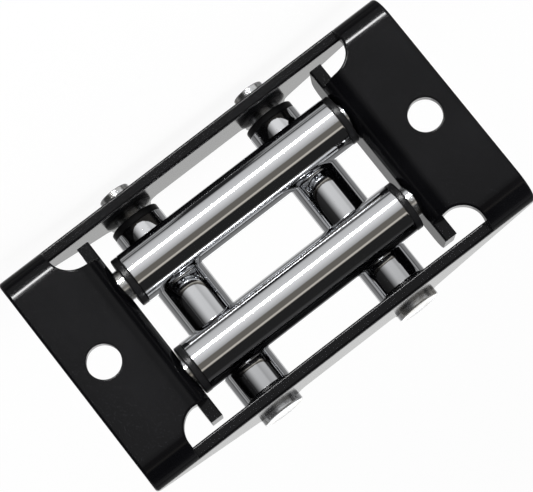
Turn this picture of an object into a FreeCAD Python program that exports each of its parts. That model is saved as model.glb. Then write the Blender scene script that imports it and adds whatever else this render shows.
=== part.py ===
# Roller fairlead: a bent steel frame that is bolted up by two holes and guides a rope
# between four chromed rollers, two lying along X and two standing along Z.
#
# Frame of the model, in millimetres:
#   the origin is midway between the two bolt holes, on the face that is bolted up
#   +X runs along the frame, +Z is up, and +Y points out of the bolted face
#   everything lies at negative Y, and a depth is a distance behind the bolted face
import FreeCAD, Part
import math
import os
from enum import IntEnum

import Sketcher

VECTOR = FreeCAD.Vector
CLOSE = 1e-4


class Spot(IntEnum):
    """Points of a piece of geometry, as a sketch numbers them."""

    START = 1
    END = 2
    CENTRE = 3


class Axis(IntEnum):
    """A sketch's own axes, as it numbers them; its origin is the start of the first."""

    ACROSS = -1
    ALONG = -2


# Driving dimensions, in millimetres. Each row: alias, value, what it is.
DIMENSIONS = (
    # stamped frame
    ("frame_height", 80.7, "outer face of one flange to outer face of the other"),
    ("sheet", 3.9, "thickness of the stamped plate"),
    ("bend_inner_radius", 5.0, "inside radius of every bend"),
    ("bolt_spacing", 123.8, "bolt hole to bolt hole"),
    ("end_margin", 11.25, "centre of a bolt hole to the frame's end"),
    ("bolt_hole_dia", 11.0, "bolt hole"),
    ("hole_edge_round", 0.45, "rounded rim of a bolt hole"),
    ("flange_end_depth", 11.3, "depth of a flange at the frame's ends"),
    ("shoulder_rise", 1.35, "how far behind a short pin's axis a flange's sloping edge would end"),
    ("waist_drop", 3.65, "how far in front of the short pins' axes a flange ends between its lobes"),
    ("lobe_wall", 2.25, "flange left around a short pin's hole"),
    ("lobe_blend", 3.0, "hollow corner between a lobe and the edges beside it"),
    ("flange_corner", 2.5, "rounded outer corner of a flange"),
    ("window_setback", 7.0, "depth at which the straps and the ear tabs start"),
    ("ear_gap", 86.2, "inner face of one ear to inner face of the other"),
    ("ear_depth", 24.0, "depth of the ears"),
    ("relief_height", 8.95, "height of a relief notch, from the flange down to the ear's root"),
    ("tab_gap", 2.45, "gap between an ear's tab and the flange beside it, at the tab's near edge"),
    ("tab_taper", 0.9, "how much a tab narrows from its near edge to its far one"),
    ("ear_corner", 5.0, "rounded far corner of an ear"),
    ("relief_reach", 4.5, "how far a relief notch reaches past the start of the ear's bend"),
    ("relief_corner", 8.0, "rounded corner of a relief notch"),
    ("end_edge_round", 1.0, "rounded outer edge at each end of the frame"),
    ("sheared_edge_round", 0.7, "rounded edges of the notches, the straps and the ears' tabs"),
    # rollers
    ("roller_dia", 17.46, "outside of a roller tube"),
    ("tube_wall", 1.73, "wall of a roller tube"),
    ("tube_edge_round", 0.4, "rounded end of a roller tube"),
    ("long_axis_spacing", 33.6, "long roller to long roller, along Z"),
    ("long_axis_depth", 10.85, "depth of the long rollers' axes"),
    ("short_axis_spacing", 53.34, "short roller to short roller, along X"),
    ("crossing_gap", 1.14, "gap between a long roller and a short one where they cross"),
    ("long_end_play", 1.9, "play of a long roller between the ears"),
    ("short_end_play", 1.6, "play of a short roller between the flanges"),
    ("rest_gap", 0.3, "gap left on the side to which a roller has slid"),
    # bushings
    ("bushing_flange", 2.3, "thickness of a bushing's flange"),
    ("bushing_inset", 0.15, "how far the flange's rim lies inside the tube's"),
    ("bushing_sleeve", 14.0, "length of the sleeve inside the tube"),
    ("bushing_wall", 1.57, "wall of the sleeve"),
    ("bushing_fit", 0.03, "gap between sleeve and tube, on the radius"),
    ("bushing_edge_round", 0.5, "rounded rim of a bushing"),
    ("running_gap", 0.05, "gap between pin and bushing, on the radius"),
    # pins and their retaining rings
    ("pin_hole_gap", 0.05, "gap between pin and frame, on the radius"),
    ("head_overhang", 1.95, "how far a pin's head stands out past its shank, all round"),
    ("pin_head", 1.9, "thickness of the head"),
    ("pin_head_round", 0.6, "rounded rim of the head"),
    ("pin_tail", 5.65, "how far a pin stands out past the frame at its ring's end"),
    ("pin_tail_round", 0.5, "rounded end of a pin"),
    ("pocket_gap", 0.3, "gap round a head or ring in its pocket behind the ear"),
    ("ring_thick", 1.2, "thickness of a retaining ring"),
    ("ring_overhang", 1.85, "how far a retaining ring stands out past the shank, all round"),
    ("ring_band", 1.4, "width of the ring's band"),
    ("ring_prong", 3.2, "width of a prong of the ring"),
    ("ring_mouth", 7.4, "open mouth of the ring"),
    ("ring_gap", 0.1, "gap between ring and frame"),
    ("groove_depth", 0.7, "depth of the ring's groove in the pin"),
    ("groove_gap", 0.05, "gap between ring and groove, each way"),
)

doc = FreeCAD.newDocument("roller_fairlead")
sheet = doc.addObject("Spreadsheet::Sheet", "Sizes")
for row, (alias, value, meaning) in enumerate(DIMENSIONS, start=1):
    sheet.set("A%d" % row, meaning)
    sheet.set("B%d" % row, str(value))
    sheet.setAlias("B%d" % row, alias)
doc.recompute()

# Sizes that several pieces share, as formulas over the sheet. From TUBE_BORE on they are radii.
HALF_LENGTH = "(Sizes.bolt_spacing / 2 + Sizes.end_margin)"
FLANGE_OUTER = "Sizes.frame_height / 2"
FLANGE_GAP = "(Sizes.frame_height - 2 * Sizes.sheet)"
FLANGE_INNER = FLANGE_GAP + " / 2"
EAR_INNER = "Sizes.ear_gap / 2"
EAR_OUTER = "(Sizes.ear_gap / 2 + Sizes.sheet)"
BEND_OUTER = "(Sizes.bend_inner_radius + Sizes.sheet)"
EAR_BEND_START = "(%s + %s)" % (EAR_INNER, BEND_OUTER)
HALF_EAR = "(%s - Sizes.tab_gap)" % FLANGE_INNER
EAR_ROOT = "(%s - Sizes.relief_height)" % FLANGE_INNER
RELIEF_REACH = "(%s + Sizes.relief_reach)" % EAR_BEND_START
SHORT_X = "Sizes.short_axis_spacing / 2"
LONG_Z = "Sizes.long_axis_spacing / 2"
SHORT_DEPTH = "(Sizes.long_axis_depth + Sizes.roller_dia + Sizes.crossing_gap)"
TUBE_BORE = "(Sizes.roller_dia / 2 - Sizes.tube_wall)"
SLEEVE = "(%s - Sizes.bushing_fit)" % TUBE_BORE
BUSHING_BORE = "(%s - Sizes.bushing_wall)" % SLEEVE
SHANK = "(%s - Sizes.running_gap)" % BUSHING_BORE
HEAD = "(%s + Sizes.head_overhang)" % SHANK
RING = "(%s + Sizes.ring_overhang)" % SHANK
GROOVE = "(%s - Sizes.groove_depth)" % SHANK
PIN_HOLE = "(%s + Sizes.pin_hole_gap)" % SHANK
LOBE = "(%s + Sizes.lobe_wall)" % PIN_HOLE
POCKET = "(max(%s; %s) + Sizes.pocket_gap)" % (HEAD, RING)


def size(formula):
    """Value of a formula over the sheet, in millimetres."""
    return float(sheet.evalExpression(formula.replace("Sizes.", "")))


def origin_item(body, role):
    """One of a body's own origin planes or axes."""
    return next(item for item in body.Origin.OriginFeatures if item.Role == role)


def new_sketch(body, name, role, offset=None):
    """A sketch on a body's origin plane, lifted off it by a formula."""
    sketch = body.newObject("Sketcher::SketchObject", name)
    sketch.AttachmentSupport = (origin_item(body, role), [""])
    sketch.MapMode = "FlatFace"
    if offset:
        sketch.setExpression("AttachmentOffset.Base.z", offset)
    return sketch


def hold_point(sketch, geometry, corner, across, along):
    """Hold a point of the sketch at two formulas, or on an axis where the value is zero."""
    for kind, axis, formula in (("DistanceX", Axis.ALONG, across), ("DistanceY", Axis.ACROSS, along)):
        value = size(formula)
        if abs(value) < CLOSE:
            sketch.addConstraint(Sketcher.Constraint("PointOnObject", geometry, corner, axis))
            continue
        origin = (Axis.ACROSS, Spot.START)
        held = sketch.addConstraint(Sketcher.Constraint(kind, *origin, geometry, corner, value))
        sketch.setExpression("Constraints[%d]" % held, formula)


def draw_outline(sketch, corners, arcs=None):
    """Draw a closed outline through corners given as pairs of formulas.

    arcs maps the number of a side to its radius, its centre across and its centre along;
    every other side is straight.
    """
    arcs = arcs or {}
    points = [VECTOR(size(across), size(along), 0) for across, along in corners]
    sides = []
    for number, start in enumerate(points):
        end = points[(number + 1) % len(points)]
        if number not in arcs:
            line = sketch.addGeometry(Part.LineSegment(start, end))
            sides.append((line, Spot.START, Spot.END))
            continue
        radius, across, along = arcs[number]
        centre = VECTOR(size(across), size(along), 0)
        first = math.atan2(start.y - centre.y, start.x - centre.x)
        last = math.atan2(end.y - centre.y, end.x - centre.x)
        forward = (last - first) % (2 * math.pi) < math.pi
        if not forward:
            first, last = last, first
        circle = Part.Circle(centre, VECTOR(0, 0, 1), size(radius))
        arc = sketch.addGeometry(Part.ArcOfCircle(circle, first, last))
        sides.append((arc, Spot.START, Spot.END) if forward else (arc, Spot.END, Spot.START))
    for number, (geometry, _, end) in enumerate(sides):
        following, start, _ = sides[(number + 1) % len(sides)]
        sketch.addConstraint(Sketcher.Constraint("Coincident", geometry, end, following, start))
    for (geometry, start, _), (across, along) in zip(sides, corners):
        hold_point(sketch, geometry, start, across, along)
    for number, (radius, _, _) in arcs.items():
        held = sketch.addConstraint(Sketcher.Constraint("Radius", sides[number][0], size(radius)))
        sketch.setExpression("Constraints[%d]" % held, radius)


def draw_circle(sketch, across, along, radius):
    """Draw a circle whose centre and radius are formulas."""
    circle = Part.Circle(VECTOR(size(across), size(along), 0), VECTOR(0, 0, 1), size(radius))
    geometry = sketch.addGeometry(circle)
    hold_point(sketch, geometry, Spot.CENTRE, across, along)
    held = sketch.addConstraint(Sketcher.Constraint("Radius", geometry, size(radius)))
    sketch.setExpression("Constraints[%d]" % held, radius)


def extrude(body, kind, name, sketch, length, symmetric=False, reverse=False):
    """Add a Pad or a Pocket of a sketch; a cut has to take something away."""
    before = body.Tip.Shape.Volume if body.Tip else 0
    feature = body.newObject("PartDesign::" + kind, name)
    feature.Profile = sketch
    if symmetric:
        feature.SideType = "Symmetric"
    feature.Reversed = reverse
    feature.setExpression("Length", length)
    doc.recompute()
    if kind == "Pocket" and not feature.Shape.Volume < before:
        raise RuntimeError("%s cuts nothing" % name)
    return feature


def mirror(body, name, originals, role):
    """Mirror features of a body in one of its origin planes."""
    feature = body.newObject("PartDesign::Mirrored", name)
    feature.Originals = originals
    feature.MirrorPlane = (origin_item(body, role), [""])
    body.Tip = feature
    doc.recompute()


def fillet(body, name, wanted, radius):
    """Round every edge of the body's last shape for which wanted(edge) is true."""
    base = body.Tip
    names = ["Edge%d" % number for number, edge in enumerate(base.Shape.Edges, start=1) if wanted(edge)]
    if not names:
        raise RuntimeError("no edge found for " + name)
    feature = body.newObject("PartDesign::Fillet", name)
    feature.Base = (base, names)
    feature.setExpression("Radius", radius)
    body.Tip = feature
    doc.recompute()


def revolve(body, name, corners, arcs=None):
    """Turn an outline in the body's XZ plane about its Z axis."""
    sketch = new_sketch(body, name + "_profile", "XZ_Plane")
    draw_outline(sketch, corners, arcs)
    feature = body.newObject("PartDesign::Revolution", name)
    feature.Profile = sketch
    feature.ReferenceAxis = (sketch, ["V_Axis"])
    feature.Angle = 360
    doc.recompute()


def runs_along(edge, direction, **places):
    """Whether a straight edge runs along 'x', 'y' or 'z' at the coordinates given, signs aside."""
    if edge.Curve.TypeId != "Part::GeomLine":
        return False
    first, last = edge.Vertexes[0].Point, edge.Vertexes[-1].Point
    across = [axis for axis in "xyz" if axis != direction]
    if any(abs(getattr(first, axis) - getattr(last, axis)) > CLOSE for axis in across):
        return False
    return all(abs(abs(getattr(first, axis)) - place) < CLOSE for axis, place in places.items())


def make_flanges(body):
    """Two flanges: sloping edges rise to a lobe at each short pin, with a waist between them."""
    shoulder, waist = "-(%s + Sizes.shoulder_rise)" % SHORT_DEPTH, "-(%s - Sizes.waist_drop)" % SHORT_DEPTH
    outline = new_sketch(body, "flange_outline", "XY_Plane", FLANGE_INNER)
    draw_outline(outline, [
        ("-" + HALF_LENGTH, "0"), (HALF_LENGTH, "0"),
        (HALF_LENGTH, "-Sizes.flange_end_depth"), (SHORT_X, shoulder), (SHORT_X, waist),
        ("-" + SHORT_X, waist), ("-" + SHORT_X, shoulder), ("-" + HALF_LENGTH, "-Sizes.flange_end_depth")])
    flange = extrude(body, "Pad", "flange", outline, "Sizes.sheet")
    lobe_outline = new_sketch(body, "lobe_outline", "XY_Plane", FLANGE_INNER)
    for side in ("", "-"):
        draw_circle(lobe_outline, side + SHORT_X, "-" + SHORT_DEPTH, LOBE)
    lobes = extrude(body, "Pad", "lobes", lobe_outline, "Sizes.sheet")
    mirror(body, "both_flanges", [flange, lobes], "XY_Plane")

    lobe_radius, lobe_x, lobe_y = size(LOBE), size(SHORT_X), -size(SHORT_DEPTH)

    def meets_lobe(edge):
        if not runs_along(edge, "z"):
            return False
        point = edge.Vertexes[0].Point
        on_lobe = abs(math.hypot(abs(point.x) - lobe_x, point.y - lobe_y) - lobe_radius) < CLOSE
        sides = body.Tip.Shape.ancestorsOfType(edge, Part.Face)
        return on_lobe and len({side.Surface.TypeId for side in sides}) == 2

    fillet(body, "lobe_blends", meets_lobe, "Sizes.lobe_blend")
    end, end_depth = size(HALF_LENGTH), size("Sizes.flange_end_depth")
    fillet(body, "flange_corners", lambda edge: runs_along(edge, "z", x=end, y=end_depth),
           "Sizes.flange_corner")
    outside, inside, thickness = size(FLANGE_OUTER), size(FLANGE_INNER), size("Sizes.sheet")
    fillet(body, "flange_bends", lambda edge: runs_along(edge, "x", y=0, z=outside), BEND_OUTER)
    fillet(body, "flange_bend_insides", lambda edge: runs_along(edge, "x", y=thickness, z=inside),
           "Sizes.bend_inner_radius")


def cut_window(body):
    """The opening between the plates, cut only to the setback, so that the straps stay behind it."""
    window = new_sketch(body, "window_outline", "XZ_Plane")
    draw_outline(window, [
        ("-" + EAR_BEND_START, "-" + HALF_EAR), (EAR_BEND_START, "-" + HALF_EAR),
        (EAR_BEND_START, HALF_EAR), ("-" + EAR_BEND_START, HALF_EAR)])
    extrude(body, "Pocket", "window", window, "Sizes.window_setback", reverse=True)


def make_ears(body):
    """An ear bent back from each plate's inner edge, narrowing to its far edge, with pin seats."""
    far, bend_depth = "-Sizes.ear_depth", "-" + BEND_OUTER
    profile = new_sketch(body, "ear_profile", "XY_Plane")
    draw_outline(profile, [
        (EAR_BEND_START, "0"), (EAR_INNER, bend_depth), (EAR_INNER, far),
        (EAR_OUTER, far), (EAR_OUTER, bend_depth), (EAR_BEND_START, "-Sizes.sheet")],
        {0: (BEND_OUTER, EAR_BEND_START, bend_depth),
         4: ("Sizes.bend_inner_radius", EAR_BEND_START, bend_depth)})
    ear = extrude(body, "Pad", "ear", profile, "2 * " + HALF_EAR, symmetric=True)
    taper_outline = new_sketch(body, "tab_taper_outline", "YZ_Plane", EAR_INNER)
    pocket_outline = new_sketch(body, "pin_pocket_outline", "YZ_Plane", EAR_OUTER)
    for side in ("", "-"):
        draw_outline(taper_outline, [
            ("-Sizes.window_setback", side + HALF_EAR), (far, side + HALF_EAR),
            (far, side + "(%s - Sizes.tab_taper)" % HALF_EAR)])
        draw_circle(pocket_outline, "-Sizes.long_axis_depth", side + LONG_Z, POCKET)
    tapers = extrude(body, "Pocket", "tab_tapers", taper_outline, BEND_OUTER, reverse=True)
    pockets = extrude(body, "Pocket", "pin_pockets", pocket_outline,
                      "Sizes.pin_tail + Sizes.pocket_gap", reverse=True)
    mirror(body, "both_ears", [ear, tapers, pockets], "YZ_Plane")
    corner_y, corner_z = size("Sizes.ear_depth"), size(HALF_EAR + " - Sizes.tab_taper")
    fillet(body, "ear_corners", lambda edge: runs_along(edge, "x", y=corner_y, z=corner_z),
           "Sizes.ear_corner")


def cut_reliefs(body):
    """A notch at each corner of the window, where the ears' bends and the flanges' bends meet."""
    corner_x = "(%s - Sizes.relief_corner)" % RELIEF_REACH
    corner_z = "(%s + Sizes.relief_corner)" % EAR_ROOT
    rim = "(%s + Sizes.sheet)" % FLANGE_OUTER
    relief = new_sketch(body, "relief_outline", "XZ_Plane")
    for side in ("", "-"):
        draw_outline(relief, [
            ("-" + RELIEF_REACH, side + rim), ("-" + RELIEF_REACH, side + corner_z),
            ("-" + corner_x, side + EAR_ROOT), (corner_x, side + EAR_ROOT),
            (RELIEF_REACH, side + corner_z), (RELIEF_REACH, side + rim)],
            {1: ("Sizes.relief_corner", "-" + corner_x, side + corner_z),
             3: ("Sizes.relief_corner", corner_x, side + corner_z)})
    extrude(body, "Pocket", "relief_notches", relief, "Sizes.window_setback", reverse=True)


def drill_holes(body):
    """Holes for the four pins and the two bolts, the bolt holes with rounded rims."""
    ear_holes = new_sketch(body, "ear_hole_outline", "YZ_Plane")
    flange_holes = new_sketch(body, "flange_hole_outline", "XY_Plane")
    bolt_holes = new_sketch(body, "bolt_hole_outline", "XZ_Plane")
    for side in ("", "-"):
        draw_circle(ear_holes, "-Sizes.long_axis_depth", side + LONG_Z, PIN_HOLE)
        draw_circle(flange_holes, side + SHORT_X, "-" + SHORT_DEPTH, PIN_HOLE)
        draw_circle(bolt_holes, side + "Sizes.bolt_spacing / 2", "0", "Sizes.bolt_hole_dia / 2")
    extrude(body, "Pocket", "ear_holes", ear_holes, "2 * " + EAR_BEND_START, symmetric=True)
    extrude(body, "Pocket", "flange_holes", flange_holes, "2 * Sizes.frame_height", symmetric=True)
    extrude(body, "Pocket", "bolt_holes", bolt_holes, "Sizes.sheet", reverse=True)
    radius, hole_x = size("Sizes.bolt_hole_dia / 2"), size("Sizes.bolt_spacing / 2")

    def is_bolt_rim(edge):
        if edge.Curve.TypeId != "Part::GeomCircle":
            return False
        return abs(edge.Curve.Radius - radius) < CLOSE and abs(abs(edge.Curve.Center.x) - hole_x) < CLOSE

    fillet(body, "bolt_hole_rims", is_bolt_rim, "Sizes.hole_edge_round")


def round_edges(body):
    """Take the sharpness off the sheared edges that face the bolted side and off the frame's ends."""
    setback, root = size("Sizes.window_setback"), size(EAR_ROOT)
    half_ear, end = size(HALF_EAR), size(HALF_LENGTH)
    corner, ear_middle = size("Sizes.relief_corner"), size(EAR_INNER + " + Sizes.sheet / 2")

    def is_sheared_edge(edge):
        start = edge.Vertexes[0].Point
        if edge.Curve.TypeId == "Part::GeomCircle":
            centre, radius = edge.Curve.Center, edge.Curve.Radius
            return abs(centre.y) < CLOSE and abs(radius - corner) < CLOSE
        if runs_along(edge, "x", y=setback):
            return abs(start.z) > half_ear + CLOSE
        inner_side = abs(start.x) < ear_middle and abs(start.z) > root - CLOSE
        return inner_side and runs_along(edge, "z", y=setback)

    fillet(body, "sheared_edges", is_sheared_edge, "Sizes.sheared_edge_round")
    fillet(body, "end_edges", lambda edge: runs_along(edge, "z", x=end, y=0), "Sizes.end_edge_round")


def make_frame():
    """The one-piece stamping: two bolted plates, two flanges and two ears, bent from one sheet."""
    body = doc.addObject("PartDesign::Body", "frame")
    outline = new_sketch(body, "plate_outline", "XZ_Plane")
    draw_outline(outline, [
        ("-" + HALF_LENGTH, "-" + FLANGE_OUTER), (HALF_LENGTH, "-" + FLANGE_OUTER),
        (HALF_LENGTH, FLANGE_OUTER), ("-" + HALF_LENGTH, FLANGE_OUTER)])
    extrude(body, "Pad", "plate", outline, "Sizes.sheet")
    make_flanges(body)
    cut_window(body)
    make_ears(body)
    cut_reliefs(body)
    drill_holes(body)
    round_edges(body)
    return body


def make_tube(name, length):
    """A roller tube along its own Z axis, centred."""
    body = doc.addObject("PartDesign::Body", name)
    outer, rim_in = "Sizes.roller_dia / 2", "(Sizes.roller_dia / 2 - Sizes.tube_edge_round)"
    end, end_in = length + " / 2", "(" + length + " / 2 - Sizes.tube_edge_round)"
    revolve(body, name + "_wall", [
        (TUBE_BORE, "-" + end), (rim_in, "-" + end), (outer, "-" + end_in),
        (outer, end_in), (rim_in, end), (TUBE_BORE, end)],
        {1: ("Sizes.tube_edge_round", rim_in, "-" + end_in), 3: ("Sizes.tube_edge_round", rim_in, end_in)})
    return body


def make_bushing(name):
    """A flanged bushing: its flange stands on the origin towards +Z, its sleeve runs towards -Z."""
    body = doc.addObject("PartDesign::Body", name)
    rim = "(Sizes.roller_dia / 2 - Sizes.bushing_inset)"
    rim_in = "(" + rim + " - Sizes.bushing_edge_round)"
    top = "Sizes.bushing_flange"
    top_in = "(Sizes.bushing_flange - Sizes.bushing_edge_round)"
    revolve(body, name + "_form", [
        (BUSHING_BORE, "-Sizes.bushing_sleeve"), (SLEEVE, "-Sizes.bushing_sleeve"), (SLEEVE, "0"),
        (rim, "0"), (rim, top_in), (rim_in, top), (BUSHING_BORE, top)],
        {4: ("Sizes.bushing_edge_round", rim_in, top_in)})
    return body


def make_pin(name, span):
    """A pin along its own Z axis, centred on the frame's span: head at +Z, ring groove at -Z."""
    body = doc.addObject("PartDesign::Body", name)
    shank_in = "(" + SHANK + " - Sizes.pin_tail_round)"
    head_in = "(" + HEAD + " - Sizes.pin_head_round)"
    under, top = span + " / 2", "(" + span + " / 2 + Sizes.pin_head)"
    top_in = "(" + top + " - Sizes.pin_head_round)"
    tail = "(" + span + " / 2 + Sizes.pin_tail)"
    tail_in = "(" + tail + " - Sizes.pin_tail_round)"
    groove_near = "(" + span + " / 2 + Sizes.ring_gap - Sizes.groove_gap)"
    groove_far = "(" + groove_near + " + Sizes.ring_thick + 2 * Sizes.groove_gap)"
    revolve(body, name + "_form", [
        ("0", "-" + tail), (shank_in, "-" + tail), (SHANK, "-" + tail_in),
        (SHANK, "-" + groove_far), (GROOVE, "-" + groove_far),
        (GROOVE, "-" + groove_near), (SHANK, "-" + groove_near),
        (SHANK, under), (HEAD, under), (HEAD, top_in), (head_in, top), ("0", top)],
        {1: ("Sizes.pin_tail_round", shank_in, "-" + tail_in),
         9: ("Sizes.pin_head_round", head_in, top_in)})
    return body


def make_ring(name):
    """A retaining ring in its own XY plane: an open band with its mouth at -Y and three prongs."""
    body = doc.addObject("PartDesign::Body", name)
    band = new_sketch(body, name + "_band_outline", "XY_Plane")
    draw_circle(band, "0", "0", RING)
    draw_circle(band, "0", "0", "(%s - Sizes.ring_band)" % RING)
    extrude(body, "Pad", name + "_band", band, "Sizes.ring_thick", symmetric=True)
    half, grip = "Sizes.ring_prong / 2", "(" + GROOVE + " + Sizes.groove_gap)"
    root = "(%s - Sizes.ring_band / 2)" % RING
    outline = new_sketch(body, name + "_prong_outline", "XY_Plane")
    draw_outline(outline, [("-" + half, grip), (half, grip), (half, root), ("-" + half, root)])
    prong = extrude(body, "Pad", name + "_prong", outline, "Sizes.ring_thick", symmetric=True)
    prongs = body.newObject("PartDesign::PolarPattern", name + "_prongs")
    prongs.Originals = [prong]
    prongs.Axis = (origin_item(body, "Z_Axis"), [""])
    prongs.Angle = 360
    prongs.Occurrences = 3
    body.Tip = prongs
    doc.recompute()
    half_mouth, rim = "Sizes.ring_mouth / 2", "-2 * " + RING
    mouth = new_sketch(body, name + "_mouth_outline", "XY_Plane")
    draw_outline(mouth, [
        ("-" + half_mouth, rim), (half_mouth, rim), (half_mouth, "0"), ("-" + half_mouth, "0")])
    extrude(body, "Pocket", name + "_mouth", mouth, "2 * Sizes.ring_thick", symmetric=True)
    return body


def make_roller(name, x, depth, z, turn, gap, play, slid, ends):
    """A roller's tube and two bushings, the pin that they turn on and the pin's retaining ring.

    x, depth and z are formulas that place the axis, and turn carries a piece's own Z to it,
    head end first. gap is the distance between the two faces that hold the roller, play is how
    much shorter the roller is, and slid is 1 or -1, as it has slid towards the head or the ring.
    ends names the two bushings, the head's first.
    """
    axis = turn.multVec(VECTOR(0, 0, 1))
    about_face = turn.multiply(FreeCAD.Rotation(VECTOR(0, 1, 0), 180))
    span = "(%s + 2 * Sizes.sheet)" % gap
    length = "(%s - %s - 2 * Sizes.bushing_flange)" % (gap, play)
    slide = "%d * (%s / 2 - Sizes.rest_gap)" % (slid, play)

    def placed(body, along, rotation=turn):
        body.Placement = FreeCAD.Placement(VECTOR(0, 0, 0), rotation)
        body.setExpression("Placement.Base.x", "%s + %d * (%s)" % (x, round(axis.x), along))
        body.setExpression("Placement.Base.y", "-" + depth)
        body.setExpression("Placement.Base.z", "%s + %d * (%s)" % (z, round(axis.z), along))
        return body

    head_bushing, ring_bushing = (make_bushing("%s_bushing_%s" % (name, end)) for end in ends)
    return [
        placed(make_tube(name + "_tube", length), slide),
        placed(head_bushing, "%s + %s / 2" % (slide, length)),
        placed(ring_bushing, "%s - %s / 2" % (slide, length), about_face),
        placed(make_pin(name + "_pin", span), "0"),
        placed(make_ring(name + "_ring"), "-(%s / 2 + Sizes.ring_gap + Sizes.ring_thick / 2)" % span)]


UPRIGHT = FreeCAD.Rotation()
TOWARDS_MINUS_X = FreeCAD.Rotation(VECTOR(0, 1, 0), -90)
LONG = (TOWARDS_MINUS_X, "Sizes.ear_gap", "Sizes.long_end_play")
SHORT = (UPRIGHT, FLANGE_GAP, "Sizes.short_end_play")
SIDES, LEVELS = ("left", "right"), ("top", "bottom")

pieces = [make_frame()]
pieces += make_roller("top_roller", "0", "Sizes.long_axis_depth", LONG_Z, *LONG, 1, SIDES)
pieces += make_roller("bottom_roller", "0", "Sizes.long_axis_depth", "-" + LONG_Z, *LONG, -1, SIDES)
pieces += make_roller("left_roller", "-" + SHORT_X, SHORT_DEPTH, "0", *SHORT, 1, LEVELS)
pieces += make_roller("right_roller", SHORT_X, SHORT_DEPTH, "0", *SHORT, 1, LEVELS)
doc.recompute()

for item in doc.Objects:
    if {"Invalid", "Error"} & set(item.State):
        raise RuntimeError("%s failed: %s" % (item.Name, item.State))
for piece in pieces:
    if piece.Shape.isNull() or not piece.Shape.isValid() or len(piece.Shape.Solids) != 1:
        raise RuntimeError("%s is not one valid solid" % piece.Label)

os.makedirs("parts", exist_ok=True)
for piece in pieces:
    piece.Shape.exportStep(os.path.join("parts", piece.Label + ".step"))
    middle = piece.Shape.CenterOfGravity
    print("%-30s volume %9.1f  centre %7.2f %7.2f %7.2f" % (
        piece.Label, piece.Shape.Volume, middle.x, middle.y, middle.z))
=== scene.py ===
"""Looks of a roller fairlead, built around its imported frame.

A bent steel stamping, powder-coated black, holds four chromed rollers. Each roller turns on
plastic bushings round a zinc-plated pin. The frame gives every place; lengths here are in metres.
"""
import logging
import math
from dataclasses import dataclass
from enum import Enum
from typing import Optional, Sequence, Union

import bpy
from mathutils import Matrix, Vector

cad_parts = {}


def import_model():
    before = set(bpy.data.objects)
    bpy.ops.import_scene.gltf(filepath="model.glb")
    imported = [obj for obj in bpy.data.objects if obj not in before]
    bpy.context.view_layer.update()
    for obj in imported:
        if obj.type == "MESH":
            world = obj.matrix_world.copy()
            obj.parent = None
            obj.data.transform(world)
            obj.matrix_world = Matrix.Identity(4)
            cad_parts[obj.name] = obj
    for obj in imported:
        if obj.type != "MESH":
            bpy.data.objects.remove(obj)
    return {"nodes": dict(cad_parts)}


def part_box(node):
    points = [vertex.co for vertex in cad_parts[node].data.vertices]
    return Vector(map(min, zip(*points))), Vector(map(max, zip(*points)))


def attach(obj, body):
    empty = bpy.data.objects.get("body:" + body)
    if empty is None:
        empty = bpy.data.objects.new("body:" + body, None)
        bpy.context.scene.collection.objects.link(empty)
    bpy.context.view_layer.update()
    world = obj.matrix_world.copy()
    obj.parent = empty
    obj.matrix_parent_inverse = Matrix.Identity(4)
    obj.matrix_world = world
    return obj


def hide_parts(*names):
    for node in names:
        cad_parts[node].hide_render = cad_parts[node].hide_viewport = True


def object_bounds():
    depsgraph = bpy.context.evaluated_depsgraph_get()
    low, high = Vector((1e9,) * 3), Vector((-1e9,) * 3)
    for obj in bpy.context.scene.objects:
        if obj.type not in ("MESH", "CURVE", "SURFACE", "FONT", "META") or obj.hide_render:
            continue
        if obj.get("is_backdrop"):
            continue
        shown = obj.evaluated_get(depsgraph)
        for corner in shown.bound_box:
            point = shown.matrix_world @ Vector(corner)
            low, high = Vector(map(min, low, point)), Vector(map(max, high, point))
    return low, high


LOG = logging.getLogger("fairlead")
MM = 0.001

WELD = 1e-7

Point = tuple[float, float]
Colour = tuple[float, float, float]

# Ways along a profile: away from its axis, towards it, and up and down the axis.
OUT, IN, UP, DOWN = (1, 0), (-1, 0), (0, 1), (0, -1)


class Value:
    """A number socket of a node tree that takes part in sums written in Python."""

    def __init__(self, tree: "Tree", socket: bpy.types.NodeSocket) -> None:
        """Wrap a socket.

        Args:
            tree: The tree that new Math nodes go into.
            socket: An output socket that carries a number.
        """
        self.tree = tree
        self.socket = socket

    def maths(self, operation: str, *others: Union["Value", float]) -> "Value":
        """Add a Math node.

        Args:
            operation: The node's operation.
            others: Its further inputs.

        Returns:
            The node's result.
        """
        return self.tree.value("Math", {"operation": operation}, dict(enumerate([self, *others])))

    def __add__(self, other: Union["Value", float]) -> "Value":
        """This value plus another."""
        return self.maths("ADD", other)

    __radd__ = __add__

    def __sub__(self, other: Union["Value", float]) -> "Value":
        """This value less another."""
        return self.maths("SUBTRACT", other)

    def __mul__(self, other: Union["Value", float]) -> "Value":
        """This value times another."""
        return self.maths("MULTIPLY", other)

    __rmul__ = __mul__

    def __truediv__(self, other: Union["Value", float]) -> "Value":
        """This value divided by another."""
        return self.maths("DIVIDE", other)

    def step(self, low: float, high: float) -> "Value":
        """Add a smooth step.

        Args:
            low: Where it is 0.
            high: Where it is 1, which may lie below low.

        Returns:
            The step's height.
        """
        reverse = high < low
        if reverse:
            low, high = high, low
        settings = {"interpolation_type": "SMOOTHSTEP", "clamp": True}
        sockets = {"Value": self, "From Min": low, "From Max": high,
                   "To Min": float(reverse), "To Max": float(not reverse)}
        return self.tree.value("MapRange", settings, sockets)


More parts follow.
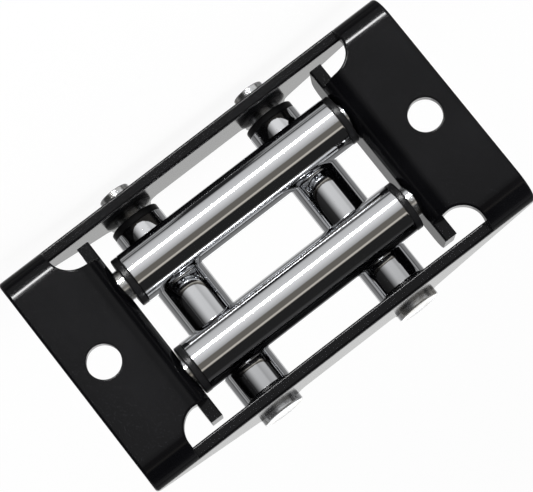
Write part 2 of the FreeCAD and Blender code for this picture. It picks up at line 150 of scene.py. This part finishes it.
class Tree:
    """A node tree, shader or geometry, that is filled from Python."""

    def __init__(self, tree: bpy.types.NodeTree, family: str = "Shader") -> None:
        """Wrap a node tree.

        Args:
            tree: The tree to fill.
            family: Shader or Geometry, the prefix of its own node types.
        """
        self.tree = tree
        self.family = family

    def node(self, kind: str, settings: Optional[dict] = None,
             sockets: Optional[dict] = None) -> bpy.types.Node:
        """Add one node.

        Args:
            kind: The node's type, without its family's prefix.
            settings: The node's own settings, set before its sockets. The key stops gives a ramp's
                stops, each a place and a colour.
            sockets: A value, a link or a Value for each input, by its name or number.

        Returns:
            The new node.
        """
        for prefix in (self.family + "Node", "FunctionNode", "ShaderNode", "Node"):
            try:
                node = self.tree.nodes.new(prefix + kind)
                break
            except RuntimeError:
                continue
        else:
            raise ValueError("no node of the type " + kind)
        for name, setting in (settings or {}).items():
            if name == "stops":
                self._set_stops(node.color_ramp, setting)
            else:
                setattr(node, name, setting)
        for key, given in (sockets or {}).items():
            self.connect(node, key, given)
        return node

    @staticmethod
    def _set_stops(ramp: bpy.types.ColorRamp, stops: Sequence[tuple[float, Colour]]) -> None:
        """Give a colour ramp its stops.

        Args:
            ramp: The ramp.
            stops: A place and a colour for each stop, in order.
        """
        while len(ramp.elements) < len(stops):
            ramp.elements.new(1.0)
        for element, (place, colour) in zip(ramp.elements, stops):
            element.position = place
            element.color = (*colour, 1.0)

    def connect(self, node: bpy.types.Node, key: Union[str, int], given: object) -> None:
        """Link or set one input of a node.

        Args:
            node: The node.
            key: The input's number, or its name, which means the first one of that name in use.
            given: A link, a Value or a constant.
        """
        target = node.inputs[key] if isinstance(key, int) else next(
            item for item in node.inputs if item.name == key and item.enabled)
        if isinstance(given, Value):
            given = given.socket
        if isinstance(given, bpy.types.NodeSocket):
            self.tree.links.new(given, target)
        elif target.type == "RGBA" and len(given) == 3:
            target.default_value = (*given, 1.0)
        else:
            target.default_value = given

    def value(self, kind: str, settings: Optional[dict] = None, sockets: Optional[dict] = None,
              output: Union[str, int] = 0) -> Value:
        """Add a node and wrap one of its outputs.

        Args:
            kind: As for node.
            settings: As for node.
            sockets: As for node.
            output: The output's name or number.

        Returns:
            The output.
        """
        return Value(self, self.node(kind, settings, sockets).outputs[output])

    def place(self) -> bpy.types.NodeSocket:
        """Object coordinates, which are the model's own metres."""
        return self.node("TexCoord").outputs["Object"]

    def seen(self) -> Value:
        """1 on a ray that the camera sees by, straight or through glass, and otherwise 0."""
        rays = self.node("LightPath").outputs
        straight = Value(self, rays["Is Camera Ray"])
        return straight.maths("MAXIMUM", Value(self, rays["Is Transmission Ray"]))

    def noise(self, where: bpy.types.NodeSocket, feature: float, detail: float = 2.0,
              roughness: float = 0.5) -> Value:
        """Noise from 0 to 1.

        Args:
            where: The coordinates.
            feature: The size of its features.
            detail: The octaves.
            roughness: How much each octave adds.

        Returns:
            The noise.
        """
        sockets = {"Vector": where, "Scale": 1.0 / feature, "Detail": detail, "Roughness": roughness}
        return self.value("TexNoise", {"normalize": True}, sockets)

    def mix(self, factor: Union[Value, float], low: object, high: object) -> bpy.types.NodeSocket:
        """Mix two colours, which may be links.

        Args:
            factor: How much of the second colour.
            low: The first colour.
            high: The second colour.

        Returns:
            The mixed colour.
        """
        node = self.node("Mix", {"data_type": "RGBA"}, {"Factor": factor, "A": low, "B": high})
        return next(item for item in node.outputs if item.enabled)

    def bump(self, height: Value, depth: float,
             normal: Optional[bpy.types.NodeSocket] = None) -> bpy.types.NodeSocket:
        """A normal bent by a height from 0 to 1.

        Args:
            height: The height field.
            depth: What a height of 1 is, in metres.
            normal: The normal to start from.

        Returns:
            The bent normal.
        """
        sockets = {"Height": height, "Distance": depth, "Strength": 1.0}
        if normal:
            sockets["Normal"] = normal
        return self.node("Bump", sockets=sockets).outputs["Normal"]


def empty_tree(owner: Union[bpy.types.Material, bpy.types.World]) -> Tree:
    """Switch on the nodes of a material or a world, and clear them.

    Args:
        owner: The material or the world.

    Returns:
        Its empty tree.
    """
    owner.use_nodes = True
    owner.node_tree.nodes.clear()
    return Tree(owner.node_tree)


@dataclass(frozen=True)
class Finish:
    """A surface finish; each kind fills a Principled shader in its own dress method."""

    name: str
    slot: str

    def material(self) -> bpy.types.Material:
        """The finish's one material, made when it is first asked for."""
        found = bpy.data.materials.get(self.name)
        if found:
            return found
        material = bpy.data.materials.new(self.name)
        tree = empty_tree(material)
        shader = tree.node("BsdfPrincipled")
        tree.node("OutputMaterial", sockets={"Surface": shader.outputs["BSDF"]})
        self.dress(tree, shader)
        return material

    def dress(self, tree: Tree, shader: bpy.types.Node) -> None:
        """Set the shader's sockets.

        Args:
            tree: The material's tree.
            shader: Its Principled shader.
        """
        raise NotImplementedError

    @staticmethod
    def fill(tree: Tree, shader: bpy.types.Node, **sockets: object) -> None:
        """Set or link sockets of a shader.

        Args:
            tree: The material's tree.
            shader: The shader.
            sockets: What goes into each socket, by its name with underscores.
        """
        for name, given in sockets.items():
            tree.connect(shader, name.replace("_", " "), given)


@dataclass(frozen=True)
class PowderCoat(Finish):
    """Glossy black powder coat: orange peel, and a gloss that wanders a little."""

    colour: Colour = (0.0022, 0.0022, 0.0028)
    worn: Colour = (0.0040, 0.0040, 0.0048)
    roughness: float = 0.12
    wander: float = 0.06
    shine: float = 0.22
    cloud_size: float = 22 * MM
    peel_size: float = 1.3 * MM
    peel_depth: float = 0.0022 * MM

    def dress(self, tree: Tree, shader: bpy.types.Node) -> None:
        """Fill the shader; see Finish."""
        place = tree.place()
        cloud = tree.noise(place, self.cloud_size, detail=3.0)
        peel = tree.noise(place, self.peel_size, roughness=0.4)
        wear = cloud.step(low=0.35, high=0.75)
        self.fill(tree, shader, Base_Color=tree.mix(wear, self.colour, self.worn),
                  Roughness=self.roughness + self.wander * cloud, IOR=1.5,
                  Specular_IOR_Level=self.shine, Normal=tree.bump(peel, self.peel_depth))


@dataclass(frozen=True)
class Chrome(Finish):
    """Bright plated tube with fine pits and a little brown tarnish in them."""

    colour: Colour = (0.82, 0.83, 0.85)
    tarnish: Colour = (0.50, 0.44, 0.36)
    tarnish_share: float = 0.55
    roughness: float = 0.03
    pit_roughness: float = 0.16
    patch_size: float = 6 * MM
    pit_size: float = 0.55 * MM
    pit_depth: float = 0.0030 * MM

    def dress(self, tree: Tree, shader: bpy.types.Node) -> None:
        """Fill the shader; see Finish."""
        place = tree.place()
        pits = tree.noise(place, self.pit_size, detail=3.0, roughness=0.6)
        patch = tree.noise(place, self.patch_size)
        speck = pits.step(low=0.62, high=0.74) * patch.step(low=0.40, high=0.62)
        self.fill(tree, shader, Metallic=1.0,
                  Base_Color=tree.mix(speck * self.tarnish_share, self.colour, self.tarnish),
                  Roughness=self.roughness + self.pit_roughness * speck,
                  Normal=tree.bump(pits, self.pit_depth))


@dataclass(frozen=True)
class MouldedPlastic(Finish):
    """Satin black moulded plastic, rubbed in places."""

    colour: Colour = (0.007, 0.007, 0.0078)
    rubbed: Colour = (0.013, 0.013, 0.014)
    roughness: float = 0.26
    rub_roughness: float = 0.14
    shine: float = 0.25
    rub_size: float = 4 * MM
    grain_size: float = 0.5 * MM
    grain_depth: float = 0.006 * MM

    def dress(self, tree: Tree, shader: bpy.types.Node) -> None:
        """Fill the shader; see Finish."""
        place = tree.place()
        grain = tree.noise(place, self.grain_size)
        rub = tree.noise(place, self.rub_size)
        self.fill(tree, shader, Base_Color=tree.mix(rub, self.colour, self.rubbed),
                  Roughness=self.roughness + self.rub_roughness * rub, IOR=1.46,
                  Specular_IOR_Level=self.shine, Normal=tree.bump(grain, self.grain_depth))


@dataclass(frozen=True)
class ZincPlate(Finish):
    """Bright zinc plate on a turned pin: shallow dents, a frosting and dull stains."""

    colour: Colour = (0.86, 0.87, 0.89)
    dull: Colour = (0.55, 0.53, 0.49)
    metallic: float = 0.92
    roughness: float = 0.10
    stain_roughness: float = 0.15
    stain_size: float = 5 * MM
    dent_size: float = 1.6 * MM
    dent_depth: float = 0.06 * MM
    frost_size: float = 0.35 * MM
    frost_depth: float = 0.004 * MM

    def dress(self, tree: Tree, shader: bpy.types.Node) -> None:
        """Fill the shader; see Finish."""
        place = tree.place()
        dents = tree.noise(place, self.dent_size, detail=3.0, roughness=0.6)
        frost = tree.noise(place, self.frost_size)
        stain = tree.noise(place, self.stain_size, detail=3.0)
        frosted = tree.bump(frost, self.frost_depth)
        self.fill(tree, shader,
                  Base_Color=tree.mix(stain.step(low=0.42, high=0.72), self.colour, self.dull),
                  Metallic=self.metallic, Roughness=self.roughness + self.stain_roughness * stain,
                  Normal=tree.bump(dents, self.dent_depth, frosted))


@dataclass(frozen=True)
class SpringSteel(Finish):
    """Plain plated spring steel, duller than the pins."""

    colour: Colour = (0.35, 0.35, 0.37)
    hazy: Colour = (0.24, 0.24, 0.25)
    roughness: float = 0.3
    haze_roughness: float = 0.15
    haze_size: float = 1.2 * MM
    haze_depth: float = 0.01 * MM

    def dress(self, tree: Tree, shader: bpy.types.Node) -> None:
        """Fill the shader; see Finish."""
        haze = tree.noise(tree.place(), self.haze_size, detail=3.0)
        self.fill(tree, shader, Base_Color=tree.mix(haze, self.colour, self.hazy), Metallic=1.0,
                  Roughness=self.roughness + self.haze_roughness * haze,
                  Normal=tree.bump(haze, self.haze_depth))


POWDER_COAT = PowderCoat("black_powder_coat", "powder_coat")
CHROME = Chrome("chromed_tube", "chrome_tube")
PLASTIC = MouldedPlastic("black_bushing_plastic", "bushing_plastic")
ZINC = ZincPlate("zinc_plated_pin", "zinc_pin")
RING_STEEL = SpringSteel("ring_steel", "spring_steel")


class Lathe:
    """A Geometry Nodes tree that turns a profile, held as a chain of vertices, about its Z axis."""

    NAME = "turned_piece"

    def __init__(self) -> None:
        """Build the tree, once for all pieces."""
        self.group = bpy.data.node_groups.new(self.NAME, "GeometryNodeTree")
        face = self.group.interface
        face.new_socket("Profile", in_out="INPUT", socket_type="NodeSocketGeometry")
        face.new_socket("Segments", in_out="INPUT", socket_type="NodeSocketInt")
        face.new_socket("Crease Angle", in_out="INPUT", socket_type="NodeSocketFloat")
        face.new_socket("Finish", in_out="INPUT", socket_type="NodeSocketMaterial")
        face.new_socket("Piece", in_out="OUTPUT", socket_type="NodeSocketGeometry")
        self._fill(Tree(self.group, "Geometry"))

    def _fill(self, tree: Tree) -> None:
        """Lay a grid of rows, one for each profile point, and bend it round the axis.

        Args:
            tree: The group's tree.
        """
        given = tree.node("GroupInput").outputs
        profile, segments = given["Profile"], given["Segments"]
        count = tree.node("AttributeDomainSize", {"component": "MESH"}, {"Geometry": profile})
        columns = Value(tree, segments) + 1
        grid = tree.node("MeshGrid", sockets={
            "Vertices X": count.outputs["Point Count"], "Vertices Y": columns})
        index = tree.value("InputIndex")
        row = (index / columns).maths("FLOOR")
        column = index - row * columns
        turn = column / Value(tree, segments)
        angle = turn * math.tau
        point = tree.node("SampleIndex", {"data_type": "FLOAT_VECTOR"}, {
            "Geometry": profile, "Value": tree.node("InputPosition").outputs[0], "Index": row})
        parts = tree.node("SeparateXYZ", sockets={0: point.outputs[0]}).outputs
        radius = Value(tree, parts[0])
        around = tree.node("CombineXYZ", sockets={
            0: radius * angle.maths("COSINE"), 1: radius * angle.maths("SINE"), 2: parts[2]})
        turned = tree.node("SetPosition", sockets={
            "Geometry": grid.outputs["Mesh"], "Position": around.outputs[0]})
        closed = tree.node("MergeByDistance", sockets={"Geometry": turned.outputs[0], "Distance": WELD})
        smooth = tree.node("SetShadeSmooth", {"domain": "FACE"}, {"Geometry": closed.outputs[0]})
        edge = Value(tree, tree.node("InputMeshEdgeAngle").outputs["Unsigned Angle"])
        crease = edge.maths("GREATER_THAN", Value(tree, given["Crease Angle"]))
        creased = tree.node("SetShadeSmooth", {"domain": "EDGE"}, {
            "Geometry": smooth.outputs[0], "Selection": crease, "Shade Smooth": False})
        real = tree.node("RealizeInstances", sockets={"Geometry": creased.outputs[0]})
        dressed = tree.node("SetMaterial", sockets={
            "Geometry": real.outputs[0], "Material": given["Finish"]})
        tree.node("GroupOutput", sockets={"Piece": dressed.outputs[0]})

    def turn(self, name: str, profile: Sequence[Point], finish: Finish, place: Matrix,
             segments: int = 128, crease: float = math.radians(40)) -> bpy.types.Object:
        """Turn a piece and put it in place.

        Args:
            name: The piece's name.
            profile: Radius and height of each point, from the piece's -Z end outwards and up.
            finish: Its finish.
            place: Where its own origin and Z axis go.
            segments: The facets round it.
            crease: The angle past which an edge stays sharp.

        Returns:
            A plain mesh object at the origin.
        """
        chain = bpy.data.meshes.new(name)
        chain.from_pydata([(radius, 0.0, height) for radius, height in profile],
                          [(number, number + 1) for number in range(len(profile) - 1)], [])
        piece = bpy.data.objects.new(name, chain)
        bpy.context.scene.collection.objects.link(piece)
        modifier = piece.modifiers.new("turn", "NODES")
        modifier.node_group = self.group
        values = {"Segments": segments, "Crease Angle": crease, "Finish": finish.material()}
        for item in self.group.interface.items_tree:
            if item.name in values:
                modifier[item.identifier] = values[item.name]
        graph = bpy.context.evaluated_depsgraph_get()
        mesh = bpy.data.meshes.new_from_object(piece.evaluated_get(graph))
        piece.modifiers.clear()
        piece.data = mesh
        mesh.name = name
        mesh.transform(place)
        bpy.data.meshes.remove(chain)
        return piece


def rounded(corner: Point, before: Point, after: Point, radius: float, steps: int = 6) -> list[Point]:
    """The arc that rounds a right-angled corner of a profile.

    Args:
        corner: The sharp corner.
        before: The direction in which the profile arrives, a unit step along one axis.
        after: The direction in which it leaves, a unit step along the other.
        radius: The radius of the arc.
        steps: The chords in the arc.

    Returns:
        The arc's points in order.
    """
    points = []
    for number in range(steps + 1):
        angle = 0.5 * math.pi * number / steps
        back, forth = radius * (1 - math.sin(angle)), radius * (1 - math.cos(angle))
        points.append(tuple(corner[axis] - before[axis] * back + after[axis] * forth for axis in (0, 1)))
    return points


class Axis(Enum):
    """The way in which a roller lies."""

    ALONG_X = "x"
    ALONG_Z = "z"


@dataclass(frozen=True)
class Roller:
    """One roller: chromed tube, two flanged bushings, headed pin and retaining ring."""

    name: str
    axis: Axis
    ends: tuple[str, str]
    tube_wall: float = 1.73 * MM
    tube_round: float = 0.4 * MM
    cap_round: float = 0.5 * MM
    cap_thick: float = 2.3 * MM
    seat_round: float = 0.2 * MM
    mouth_round: float = 0.3 * MM
    sleeve_gap: float = 0.03 * MM
    running_gap: float = 0.05 * MM
    shank_radius: float = 5.35 * MM
    head_thick: float = 1.9 * MM
    head_round: float = 0.6 * MM
    tail_round: float = 0.5 * MM
    groove_depth: float = 0.7 * MM
    groove_slack: float = 0.05 * MM
    small_turn_facets: int = 96
    small_round_steps: int = 3

    def node_name(self, part: str) -> str:
        """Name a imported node.

        Args:
            part: The part's name within the roller.

        Returns:
            The node's full name.
        """
        return "%s_%s" % (self.name, part)

    def measure(self, part: str) -> tuple[Vector, float, float]:
        """Read a part's box.

        Args:
            part: The part's name within the roller.

        Returns:
            Its middle, its radius and half its length along the roller.
        """
        low, high = (Vector(corner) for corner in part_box(self.node_name(part)))
        size = high - low
        along, across = (size.x, size.z) if self.axis is Axis.ALONG_X else (size.z, size.x)
        return (low + high) / 2, across / 2, along / 2

    def stand(self, middle: Vector, towards_head: bool = True) -> Matrix:
        """Make a placement along the roller.

        Args:
            middle: Where its origin goes.
            towards_head: Whether its Z axis points to the end with the pin's head.

        Returns:
            The placement.
        """
        if self.axis is Axis.ALONG_X:
            turn = Matrix.Rotation(math.radians(-90 if towards_head else 90), 4, "Y")
        else:
            turn = Matrix.Rotation(math.radians(0 if towards_head else 180), 4, "X")
        return Matrix.Translation(middle) @ turn

    def keep(self, piece: bpy.types.Object, part: str, body: str) -> None:
        """Attach a piece to its body and hide the node that it stands for.

        Args:
            piece: The piece.
            part: The part that it stands for, by its name within the roller.
            body: The body that carries it.
        """
        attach(piece, body)
        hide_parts(self.node_name(part))
        LOG.info("%s: %d faces on %s", piece.name, len(piece.data.polygons), body)

    def build_tube(self, lathe: Lathe) -> None:
        """Turn the chromed tube.

        Args:
            lathe: The lathe.
        """
        middle, radius, half = self.measure("tube")
        bore = radius - self.tube_wall
        profile = [(bore, -half)]
        profile += rounded((radius, -half), OUT, UP, self.tube_round)
        profile += rounded((radius, half), UP, IN, self.tube_round)
        profile += [(bore, half), (bore, -half)]
        piece = lathe.turn(self.node_name("chromed_tube"), profile, CHROME, self.stand(middle))
        self.keep(piece, "tube", self.name)

    def build_bushing(self, lathe: Lathe, end: str, towards_head: bool) -> None:
        """Turn a bushing.

        Args:
            lathe: The lathe.
            end: The end of the roller that it is in.
            towards_head: Whether that is the end at the pin's head.
        """
        part = "bushing_" + end
        middle, radius, half = self.measure(part)
        _, tube_radius, _ = self.measure("tube")
        bore = self.shank_radius + self.running_gap
        sleeve = tube_radius - self.tube_wall - self.sleeve_gap
        seat = half - self.cap_thick
        profile = [(bore, -half), (sleeve, -half), (sleeve, seat)]
        profile += rounded((radius, seat), OUT, UP, self.seat_round, self.small_round_steps)
        profile += rounded((radius, half), UP, IN, self.cap_round)
        profile += rounded((bore, half), IN, DOWN, self.mouth_round, self.small_round_steps)
        profile += [(bore, -half)]
        piece = lathe.turn(self.node_name("cap_" + end), profile, PLASTIC,
                           self.stand(middle, towards_head), self.small_turn_facets)
        self.keep(piece, part, self.name)

    def build_pin(self, lathe: Lathe) -> None:
        """Turn the pin, its head at the end that the ends name first.

        Args:
            lathe: The lathe.
        """
        middle, head, half = self.measure("pin")
        ring_middle, _, ring_half = self.measure("ring")
        groove_middle = -(middle - ring_middle).length
        groove_half = ring_half + self.groove_slack
        low, high = groove_middle - groove_half, groove_middle + groove_half
        shank, floor = self.shank_radius, self.shank_radius - self.groove_depth
        under = half - self.head_thick
        profile = [(0.0, -half)]
        profile += rounded((shank, -half), OUT, UP, self.tail_round)
        profile += [(shank, low), (floor, low), (floor, high), (shank, high)]
        profile += [(shank, under), (head, under)]
        profile += rounded((head, half), UP, IN, self.head_round)
        profile += [(0.0, half)]
        piece = lathe.turn(self.node_name("headed_pin"), profile, ZINC, self.stand(middle),
                           self.small_turn_facets)
        self.keep(piece, "pin", "frame_assembly")

    def build(self, lathe: Lathe, nodes: dict[str, bpy.types.Object]) -> None:
        """Build and dress all parts.

        Args:
            lathe: The lathe.
            nodes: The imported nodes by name.
        """
        self.build_tube(lathe)
        for number, end in enumerate(self.ends):
            self.build_bushing(lathe, end, number == 0)
        self.build_pin(lathe)
        dress_node(nodes[self.node_name("ring")], RING_STEEL)


def dress_node(node: bpy.types.Object, finish: Finish) -> None:
    """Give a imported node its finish.

    Args:
        node: The node's object.
        finish: Its finish.
    """
    for slot in node.material_slots:
        slot.material = finish.material()
    LOG.info("%s: dressed in %s", node.name, finish.name)


@dataclass(frozen=True)
class PhotoCamera:
    """The photograph's camera, fitted to the object's edges in it."""

    azimuth: float = math.radians(4.714085)
    elevation: float = math.radians(9.963387)
    roll: float = math.radians(37.5578 - 0.006286)
    distance: float = 941.3587 * MM
    aim_right: float = -1.361117 * MM
    aim_down: float = 2.303387 * MM
    focal_px: float = 3094.914
    picture_width_px: int = 533
    sensor: float = 36.0
    clip: tuple[float, float] = (0.05, 30.0)

    def axes(self) -> tuple[Vector, Vector, Vector]:
        """The view's axes before its roll: to the camera, across and down."""
        side, up = math.sin(self.azimuth), math.sin(self.elevation)
        toward = Vector((-side, math.sqrt(1 - side * side - up * up), up))
        across = (Vector((1, 0, 0)) - toward.x * toward).normalized()
        return toward, across, across.cross(toward)

    def build(self) -> bpy.types.Object:
        """Make the scene's camera.

        Returns:
            The camera object.
        """
        toward, across, down = self.axes()
        right = math.cos(self.roll) * across + math.sin(self.roll) * down
        data = bpy.data.cameras.new("photo_camera")
        data.sensor_width = self.sensor
        data.lens = self.focal_px / self.picture_width_px * self.sensor
        data.clip_start, data.clip_end = self.clip
        camera = bpy.data.objects.new("photo_camera", data)
        bpy.context.scene.collection.objects.link(camera)
        turn = Matrix((right, toward.cross(right), toward)).transposed().to_4x4()
        where = toward * self.distance + across * self.aim_right + down * self.aim_down
        camera.matrix_world = Matrix.Translation(where) @ turn
        bpy.context.scene.camera = camera
        return camera


WHITE = (1.0, 1.0, 1.0)
WARM = (1.0, 0.93, 0.82)


@dataclass(frozen=True)
class Card:
    """A card of the studio, placed by one part of a ray's direction, which runs from -1 to 1."""

    start: float
    end: float
    light: float
    end_light: Optional[float] = None
    tint: Colour = WHITE

    def stops(self) -> list[tuple[float, Colour]]:
        """The card's two ends as stops of a colour ramp from 0 to 1."""
        end_light = self.light if self.end_light is None else self.end_light
        return [(place * 0.5 + 0.5, tuple(light * part for part in self.tint))
                for place, light in ((self.start, self.light), (self.end, end_light))]


@dataclass(frozen=True)
class Band:
    """A band of directions whose edges are soft."""

    low: float
    high: float
    soft: float

    def holds(self, part: Value) -> Value:
        """Mask a part of a ray's direction.

        Args:
            part: The part.

        Returns:
            How much the ray is in the band, from 0 to 1.
        """
        return part.step(self.low, self.low + self.soft) * part.step(self.high, self.high - self.soft)


# In front of the object, from over it to under it: ceiling, soft box, bench, strip, black cloth.
FRONT_DOWN = (
    Card(-1.00, -0.99, 0.30, 0.45),
    Card(-0.96, -0.76, 0.58, 0.70),
    Card(-0.68, -0.57, 0.98),
    Card(-0.50, -0.06, 0.85, 0.43),
    Card(0.02, 0.35, 0.15, tint=WARM),
    Card(0.41, 0.46, 0.60, tint=WARM),
    Card(0.53, 0.94, 0.018),
    Card(0.98, 1.00, 0.06),
)
# In front of it, from left to right, as a share of the light: rod, black cloth, sweep, open side.
FRONT_ACROSS = (
    Card(-1.00, -0.98, 0.02),
    Card(-0.97, -0.96, 0.50),
    Card(-0.94, -0.54, 0.02, 0.04),
    Card(-0.40, -0.10, 0.30, 0.85),
    Card(0.03, 0.45, 0.95),
    Card(0.58, 0.89, 0.70, 1.00),
    Card(0.93, 1.00, 0.05),
)
# Behind it, from straight behind to the side: backdrop, its edge, dim room, two dark seams.
BEHIND = (
    Card(-1.00, -0.97, 0.43),
    Card(-0.95, -0.90, 0.72),
    Card(-0.84, -0.48, 0.25, 0.18),
    Card(-0.39, -0.37, 0.07),
    Card(-0.28, -0.17, 0.34, 0.30),
    Card(-0.13, -0.11, 0.06),
    Card(-0.08, -0.06, 0.38),
    Card(0.00, 0.10, 0.05),
)
# A short tube light in the soft box, which draws the bright lines along bends and rollers.
TUBE_DOWN = Band(-0.70, -0.57, 0.03)
TUBE_ACROSS = Band(-0.10, 0.32, 0.08)
# A pale wall far behind, which the flanges mirror at a grazing angle.
WALL_TOWARD = Band(-1.02, -0.87, 0.03)
WALL_DOWN = Band(0.20, 0.50, 0.06)
# A dark flag overhead, which draws the dark line along each long roller.
FLAG_TOWARD = Band(-0.62, 0.12, 0.10)
FLAG_ACROSS = Band(0.00, 0.13, 0.03)
FLAG_DOWN = Band(-1.10, -0.93, 0.04)


@dataclass(frozen=True)
class Lamp:
    """A square soft lamp that looks at the object, and that polished surfaces don't mirror."""

    name: str
    place: tuple[float, float, float]
    width: float
    power: float

    def hang(self) -> None:
        """Put the lamp in the scene."""
        data = bpy.data.lights.new(self.name, "AREA")
        data.size, data.energy = self.width, self.power
        lamp = bpy.data.objects.new(self.name, data)
        bpy.context.scene.collection.objects.link(lamp)
        where = Vector(self.place)
        turn = where.to_track_quat("Z", "Y").to_matrix().to_4x4()
        lamp.matrix_world = Matrix.Translation(where) @ turn
        lamp.visible_glossy = False


LAMPS = (
    Lamp("key", (0.55, 0.9, 1.1), 0.9, 9.0),
    Lamp("fill", (-0.9, 0.8, 0.5), 0.8, 3.0),
)


@dataclass(frozen=True)
class Studio:
    """Pale floor, white surroundings, soft lamps, and what polished metal sees in the studio."""

    camera: PhotoCamera
    floor_height: float
    floor_size: float = 12.0
    paper: Colour = (0.9, 0.9, 0.9)
    floor_white: float = 0.93
    ambient: Colour = (0.75, 0.75, 0.75)
    tube_gain: float = 62.0
    wall_light: Colour = (1.46, 1.46, 1.45)
    flag_light: Colour = (0.02, 0.02, 0.021)

    def build(self) -> None:
        """Make the floor, the lamps and the world."""
        self.build_floor()
        for lamp in LAMPS:
            lamp.hang()
        self.build_world()

    def build_floor(self) -> None:
        """A pale floor under the object, which keeps its shadow."""
        half = self.floor_size / 2
        mesh = bpy.data.meshes.new("floor")
        mesh.from_pydata([(-half, -half, 0), (half, -half, 0), (half, half, 0), (-half, half, 0)],
                         [], [(0, 1, 2, 3)])
        mesh.transform(Matrix.Translation((0, 0, self.floor_height)))
        floor = bpy.data.objects.new("floor", mesh)
        bpy.context.scene.collection.objects.link(floor)
        floor.visible_glossy = False
        material = bpy.data.materials.new("pale_floor")
        tree = empty_tree(material)
        paper = tree.node("BsdfDiffuse", sockets={"Color": self.paper})
        white = tree.node("Emission", sockets={"Color": WHITE, "Strength": 1.0})
        shown = tree.node("MixShader", sockets={
            0: tree.seen() * self.floor_white, 1: paper.outputs[0], 2: white.outputs[0]})
        tree.node("OutputMaterial", sockets={"Surface": shown.outputs[0]})
        mesh.materials.append(material)
        floor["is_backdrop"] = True

    def build_world(self) -> None:
        """White surroundings; polished surfaces see the studio's cards and shadows in them."""
        world = bpy.data.worlds.new("studio")
        bpy.context.scene.world = world
        tree = empty_tree(world)
        glossy = tree.value("LightPath", output="Is Glossy Ray")
        soft = tree.mix(glossy, self.ambient, self.reflected(tree))
        colour = tree.mix(tree.seen(), soft, WHITE)
        background = tree.node("Background", sockets={"Color": colour, "Strength": 1.0})
        tree.node("OutputWorld", sockets={"Surface": background.outputs[0]})

    def reflected(self, tree: Tree) -> bpy.types.NodeSocket:
        """What polished surfaces see, by how far a ray points across, down and to the camera's side.

        Args:
            tree: The world's tree.

        Returns:
            The colour that a glossy ray meets.
        """
        ray = tree.node("TexCoord").outputs["Generated"]
        toward, across, down = (
            tree.value("VectorMath", {"operation": "DOT_PRODUCT"}, {0: ray, 1: tuple(axis)}, "Value")
            for axis in self.camera.axes())
        tube = TUBE_DOWN.holds(down) * TUBE_ACROSS.holds(across)
        share = Value(tree, self.lit(tree, FRONT_ACROSS, across)) * (1 + self.tube_gain * tube)
        front = tree.node("VectorMath", {"operation": "SCALE"}, {
            0: self.lit(tree, FRONT_DOWN, down), "Scale": share}).outputs[0]
        wall = WALL_TOWARD.holds(toward) * WALL_DOWN.holds(down)
        behind = tree.mix(wall, self.lit(tree, BEHIND, toward), self.wall_light)
        room = tree.mix(toward.step(low=0.02, high=0.20), behind, front)
        flag = FLAG_TOWARD.holds(toward) * FLAG_ACROSS.holds(across) * FLAG_DOWN.holds(down)
        return tree.mix(flag, room, self.flag_light)

    @staticmethod
    def lit(tree: Tree, cards: Sequence[Card], part: Value) -> bpy.types.NodeSocket:
        """The light of a row of cards.

        Args:
            tree: The world's tree.
            cards: The cards in order.
            part: The part of the ray's direction that places them.

        Returns:
            The colour that the ray meets, fading from each card to the next.
        """
        stops = [stop for card in cards for stop in card.stops()]
        return tree.node("ValToRGB", {"stops": stops}, {"Fac": part * 0.5 + 0.5}).outputs["Color"]


def main() -> None:
    """Load the frame, dress it, and set the studio and the camera."""
    logging.basicConfig(level=logging.INFO, format="%(name)s: %(message)s")
    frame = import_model()
    cad_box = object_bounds()
    nodes = frame["nodes"]
    dress_node(nodes["frame"], POWDER_COAT)
    lathe = Lathe()
    rollers = [
        Roller("top_roller", Axis.ALONG_X, ("left", "right")),
        Roller("bottom_roller", Axis.ALONG_X, ("left", "right")),
        Roller("left_roller", Axis.ALONG_Z, ("top", "bottom")),
        Roller("right_roller", Axis.ALONG_Z, ("top", "bottom")),
    ]
    for roller in rollers:
        roller.build(lathe, nodes)
    camera = PhotoCamera()
    camera.build()
    Studio(camera, cad_box[0][2]).build()
    bpy.context.scene.view_settings.view_transform = "Standard"


if __name__ == "__main__":
    main()
